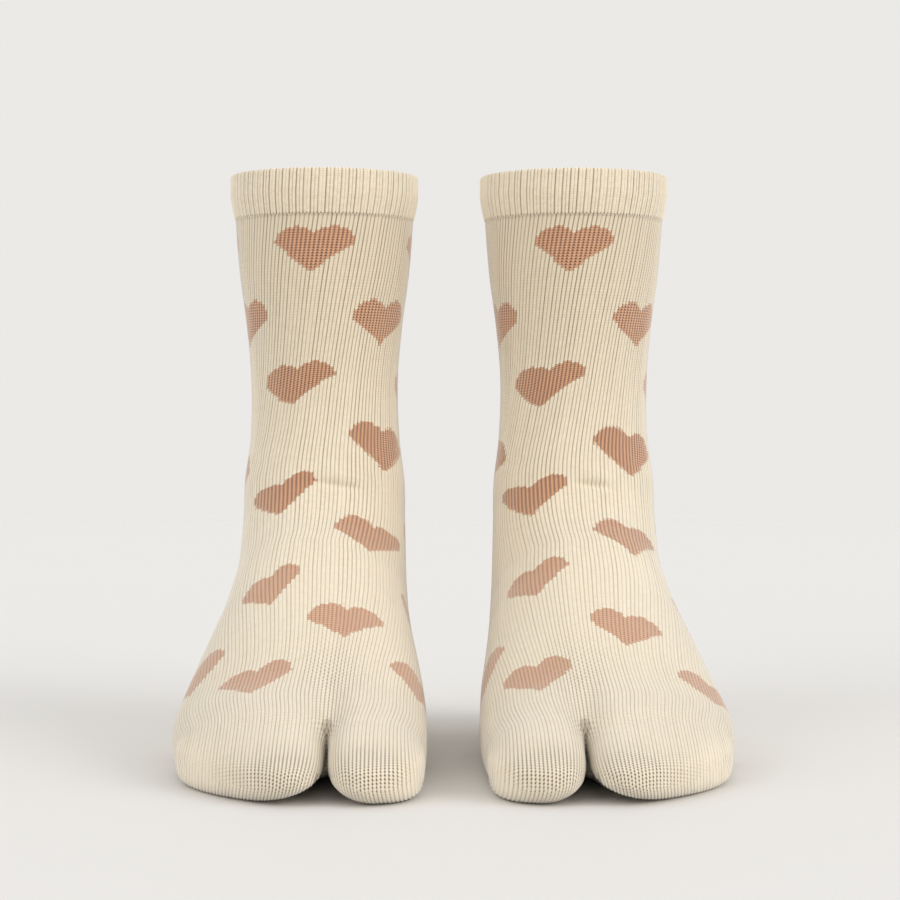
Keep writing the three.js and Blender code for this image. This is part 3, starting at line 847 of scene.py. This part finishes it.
def new_fabric(name):
    """A cotton material, with the two coordinates of its stitches."""
    material, tree, shader = new_material(name)
    settle(shader, Roughness=0.9, Specular_IOR_Level=0.25, Sheen_Weight=0.9, Sheen_Roughness=0.5,
           Sheen_Tint=(1.0, 0.98, 0.94, 1))
    return material, tree, shader, *pair(tree, "Knit")


def clothe(tree, shader, colour, height, depth):
    """Gives a fabric its colour and relief."""
    tree.links.new(colour.socket, shader.inputs["Base Color"])
    node = tree.nodes.new("ShaderNodeBump")
    settle(node, Strength=1.0, Distance=depth)
    tree.links.new(height.socket, node.inputs["Height"])
    tree.links.new(node.outputs[0], shader.inputs["Normal"])


def both_of(first, second):
    """Two darkenings laid over one another."""
    return 1 - (1 - first) * (1 - second)


CREAM = (0.835, 0.742, 0.585)
CREAM_GAP = (0.27, 0.215, 0.14)  # the shadow between stitches
CREAM_SHADE = (0.70, 0.60, 0.45)
# the painted shade between the purl loops
PURL_SHADE = (0.58, 0.48, 0.33)
TAN = (0.62, 0.335, 0.195)
# the painted shadow between the tan stitches
TAN_SHADOW = (0.06, 0.02, 0.008)
TAN_WORN = (0.86, 0.60, 0.42)  # a little of it, down the foot
# the painted shade seen through an opening in the stretched knit
HOLE_SHADE = (0.15, 0.10, 0.05)
KNIT_BUMP, PURL_BUMP, RIB_BUMP = 0.00025, 0.0003, 0.0002  # metres
V_DEPTH = 0.5  # courses, from the point of a stitch's V to its ends
# A heart in stitches: two round lobes over a point.
LOBE_ASIDE, LOBE_UP, LOBE_WIDE, LOBE_HIGH = 4.9, 2.4, 5.7, 6.2
LOBE_END, POINT_DOWN, HEART_SIDE = 2.3, 8.6, 10.6
HEART_TOP_ROW, HEART_END_ROW = -0.5, 8.5  # hearts lie in the rows between
# Openings between stitches: half their widths in wales and heights in courses.
GAP_WALES, GAP_COURSES, SLIT_COURSES = 0.3, 0.32, 0.3
UNDER_CUFF = 90  # courses below the cuff, over which the knit grows darker towards the cuff


def knit_material():
    """The outside of a body: stitches, hearts and openings, with painted shade in their grooves, corners
    and openings.
    """
    material, tree, shader, u, v = new_fabric("cream_heart_knit")
    round_, down = pair(tree, "Motif")
    open_node = tree.nodes.new("ShaderNodeAttribute")
    open_node.attribute_name = "open"
    opened = Value(tree, open_node.outputs["Fac"])

    within = u.fract()
    edge = abs(within * 2 - 1)  # 0 on the wale's middle, 1 in the groove beside it
    slope = v + edge * V_DEPTH  # the two legs of a stitch make a V
    course = slope.floor()
    wale = u.floor()
    leg_end = abs(slope.fract() * 2 - 1)  # 0 on a leg's middle, 1 where the next stitch begins
    leg = 1 - leg_end ** 4
    groove = edge.ramp(0.5, 1.0)
    between = leg_end.ramp(0.45, 1.0)
    middle = (0.22 - edge).ramp(0, 0.22)

    # hearts, stitch by stitch
    middle_down = down - (slope - course - 0.5) / ROW_COURSES + edge * V_DEPTH / ROW_COURSES
    middle_round = round_ - (within - 0.5) * (HEARTS_ROUND / WALES)
    across = abs((middle_round + 0.5).fract() - 0.5) * (WALES / HEARTS_ROUND)
    below = ((middle_down + 0.5).fract() - 0.5) * ROW_COURSES
    round_part = 1 - ((across - LOBE_ASIDE) / LOBE_WIDE) ** 2 - ((below + LOBE_UP) / LOBE_HIGH) ** 2
    lobe = round_part.above(0) * (-LOBE_END - below).above(0)
    point = ((POINT_DOWN - across - below).above(0) * (below + LOBE_UP).above(0)
             * (HEART_SIDE - across).above(0))
    in_rows = (middle_down - HEART_TOP_ROW).above(0) * (HEART_END_ROW - middle_down).above(0)
    heart = lobe.most(point) * in_rows

    # openings between stretched stitches, staggered from wale to wale
    gap_wale = (u + 0.5).floor()
    stagger = (gap_wale * 0.5).fract()
    gap_u = abs(u - gap_wale) / GAP_WALES
    gap_v = abs((v + stagger).fract() - 0.5) / GAP_COURSES
    hole = (1 - (gap_u * gap_u + gap_v * gap_v)).ramp(0.0, 0.7) * opened.most(0)
    wide_v = abs((v * 0.5 + stagger).fract() - 0.5) / SLIT_COURSES
    slit = (1 - (gap_u * gap_u + wide_v * wide_v)).ramp(0.0, 0.8) * (opened * -1).most(0)
    hole = both_of(hole, slit * 0.55)
    # painted shade deep in the cleft, at the roots of the toes
    cleft_shade = (opened * -1).ramp(0.95, 1.2)

    # no two wales, and no two stitches, quite alike
    patch = noise(u * 0.5, v * 0.25, 0.09)
    strand = noise(u, v * 0.05, 0.7, 1)
    fine = noise(u, v, 1.7)
    wander = whim(gap_wale) * 0.75 + strand
    stitch = whim(wale, course)
    nick_shade = edge.ramp(0.35, 0.95) * between  # painted shade in the corner where four stitches meet

    top = (1 - v / UNDER_CUFF).most(0)  # darker towards the top of the leg, under the cuff
    # how deep the painted shade in the grooves and stitch corners is: deeper under the cuff, lighter down
    # the foot
    shade_depth = top * 0.3 + 0.66 - down.ramp(3.5, 7) * 0.26
    # painted shade in the grooves between wales, in the gaps between courses and in the stitch corners
    gap_shade = both_of(groove * wander * shade_depth,
                   both_of(between * 0.16, nick_shade * 0.4) * (stitch * 0.9 + 0.5) * shade_depth)
    shade = stitch * 0.2 + patch * 0.2 + fine * 0.2 + top * 0.9
    cream = blend_colour(shade.clamped(), CREAM, CREAM_SHADE)
    cream = blend_colour(gap_shade.clamped(), cream, CREAM_GAP)
    cream = blend_colour(cleft_shade * 0.55, cream, CREAM_GAP)
    # the openings painted dark with shade
    cream = blend_colour((hole * 0.95).clamped(), cream, HOLE_SHADE)
    tan_shade_depth = 1.1 - down.ramp(3, 7) * 0.45  # how deep the painted shade between the tan's stitches is, less so down the foot
    # painted shade in the tan stitches' corners, grooves and the gaps between courses
    corner = edge.ramp(0.15, 0.8) * leg_end.ramp(0.25, 0.85)
    gap_shade = both_of(groove * 0.3, both_of(corner, between * 0.35) * (stitch * 0.4 + 0.8)) * tan_shade_depth
    brown = blend_colour(gap_shade.clamped(), TAN, TAN_SHADOW)
    brown = blend_colour(down.ramp(4, 8) * 0.05, brown, TAN_WORN)
    colour = blend_colour(heart, cream, brown)
    height = (1 - edge ** 3) * (leg * 0.4 + 0.6) - middle * 0.15 + fine * 0.12 - hole * 1.2
    clothe(tree, shader, colour, height, KNIT_BUMP)
    return material


def inside_material():
    """Purl loops: the other face of the knit."""
    material, tree, shader, u, v = new_fabric("cream_knit_inside")
    within = abs(u.fract() * 2 - 1)
    row = abs((v + within * 0.3).fract() * 2 - 1)
    loops = (1 - row ** 2) * (within * 0.3 + 0.7)
    fine = noise(u, v, 0.9)
    # darker between the loops: painted shade
    colour = blend_colour(loops, PURL_SHADE, CREAM)
    clothe(tree, shader, colour, loops + fine * 0.2, PURL_BUMP)
    return material


SEAM_END = 1.9  # courses above the cuff's lower edge, where the joining stitches end
SPLIT_DRAWS = 50.0  # so that a split and a groove draw differently


def rib_material():
    material, tree, shader, u, v = new_fabric("cream_rib")
    beside = abs(u.fract() * 2 - 1)  # 1 in the groove beside a rib
    edge = abs((u * 2).fract() * 2 - 1)  # 1 beside each of a rib's two wales
    slope = v + edge * V_DEPTH
    between = abs(slope.fract() * 2 - 1).ramp(0.45, 1.0)
    groove_at = (u + 0.5).floor()
    wander = whim(groove_at) * 0.8 + 0.4
    split = whim(u.floor() + SPLIT_DRAWS) * 0.8 + 0.2
    stitch = whim((u * 2).floor(), slope.floor())
    fine = noise(u, v, 1.7)
    seam = (SEAM_END - v).ramp(0.2, 0.7) * edge.ramp(0.3, 0.9)
    # painted shade in the grooves beside the ribs, on the split between a rib's two wales and between
    # courses
    gap_shade = both_of(beside.ramp(0.72, 0.98) * wander * 0.8,
                   both_of(edge.ramp(0.5, 1.0) * split * 0.6, between * 0.22) * (stitch * 0.6 + 0.7))
    colour = blend_colour((stitch * 0.3 + fine * 0.4 + 0.25).clamped(), CREAM, CREAM_SHADE)
    colour = blend_colour(gap_shade.clamped(), colour, CREAM_GAP)
    colour = blend_colour(seam * 0.9, colour, CREAM_GAP)
    height = (1 - edge ** 3) * 0.7 - between * 0.3 + fine * 0.15 - seam * 0.6
    clothe(tree, shader, colour, height, RIB_BUMP)
    return material


FLOOR_RINGS, FLOOR_SPOKES = (0.5, 1.0, 1.6, 2.3, 3.2), 64
FLOOR_FADE = (1.1, 3.1)  # metres from the middle, between which the floor passes into the backdrop
FLOOR_COLOUR, WORLD_COLOUR = (0.765, 0.757, 0.748, 1), (0.83, 0.82, 0.80, 1)


def make_floor():
    """A round pale floor, clear towards its edge."""
    turn = 2 * pi * np.arange(FLOOR_SPOKES) / FLOOR_SPOKES
    spokes = np.stack([np.cos(turn), np.sin(turn), 0 * turn], -1)
    points = (np.array(FLOOR_RINGS)[:, None, None] * spokes).reshape(-1, 3)
    index = np.arange(len(points)).reshape(-1, FLOOR_SPOKES)
    disc = bpy.data.meshes.new("floor")
    disc.from_pydata(points.tolist(), [], [index[0].tolist(), *corners_of(closed(index)).tolist()])

    material, tree, shader = new_material("pale_floor")
    settle(shader, Base_Color=FLOOR_COLOUR, Roughness=0.7, Specular_IOR_Level=0.3)
    spot = tree.nodes.new("ShaderNodeTexCoord")
    away = tree.nodes.new("ShaderNodeVectorMath")
    away.operation = "LENGTH"
    tree.links.new(spot.outputs["Object"], away.inputs[0])
    clear = tree.nodes.new("ShaderNodeBsdfTransparent")
    both = tree.nodes.new("ShaderNodeMixShader")
    tree.links.new(Value(tree, away.outputs["Value"]).ramp(*FLOOR_FADE).socket, both.inputs[0])
    tree.links.new(shader.outputs[0], both.inputs[1])
    tree.links.new(clear.outputs[0], both.inputs[2])
    tree.links.new(both.outputs[0], tree.nodes["Material Output"].inputs[0])
    disc.materials.append(material)
    return add_object("floor", disc)


def make_world():
    world = bpy.data.worlds.new("studio")
    bpy.context.scene.world = world
    world.use_nodes = True
    settle(world.node_tree.nodes["Background"], Color=WORLD_COLOUR, Strength=1.0)


def far_light(name, towards, power, spread, colour=(1, 1, 1)):
    """A soft light from far off, which lies in the given direction from the socks."""
    light = bpy.data.lights.new(name, "SUN")
    light.angle, light.energy, light.color = radians(spread), power, colour
    lamp = add_object(name, light)
    lamp.rotation_euler = Vector(towards).to_track_quat("Z", "Y").to_euler()


LENS, SENSOR = 90, 36
CAMERA_TURN, CAMERA_PITCH = 1.0, 0.581  # degrees
CAMERA_ASIDE, CAMERA_AHEAD, CAMERA_UP = 0.0004, 0.987, 0.1355  # metres from the middle of the legs


def make_camera():
    turn = radians(CAMERA_TURN)
    lens = bpy.data.cameras.new("camera")
    lens.lens, lens.sensor_width = LENS, SENSOR
    lens.clip_start, lens.clip_end = 0.05, 20
    camera = add_object("camera", lens)
    camera.location = (CAMERA_ASIDE - CAMERA_AHEAD * sin(turn),
                       OFFSET_Y * MM - CAMERA_AHEAD * cos(turn), CAMERA_UP)
    camera.rotation_euler = (radians(90 - CAMERA_PITCH), 0, -turn)
    bpy.context.scene.camera = camera
    bpy.context.scene.view_settings.view_transform = "Standard"


# --- the pieces
knit_look, inside_look, rib_look = knit_material(), inside_material(), rib_material()
for foot, side in (("left", 1), ("right", -1)):
    body = make_body(f"{foot}_sock_knit", side, [knit_look, inside_look])
    cuff = make_cuff(f"{foot}_sock_rib", side, [rib_look])
    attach(body, "root")
    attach(cuff, "root")
    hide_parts(f"{foot}_sock_body")
    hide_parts(f"{foot}_sock_cuff")

# --- stage, light and camera
make_floor()
make_world()
far_light("key", (0.80, -0.50, 0.36), 1.5, 45, (1.0, 0.99, 0.98))
far_light("left", (-0.72, -0.58, 0.38), 0.85, 50)
make_camera()
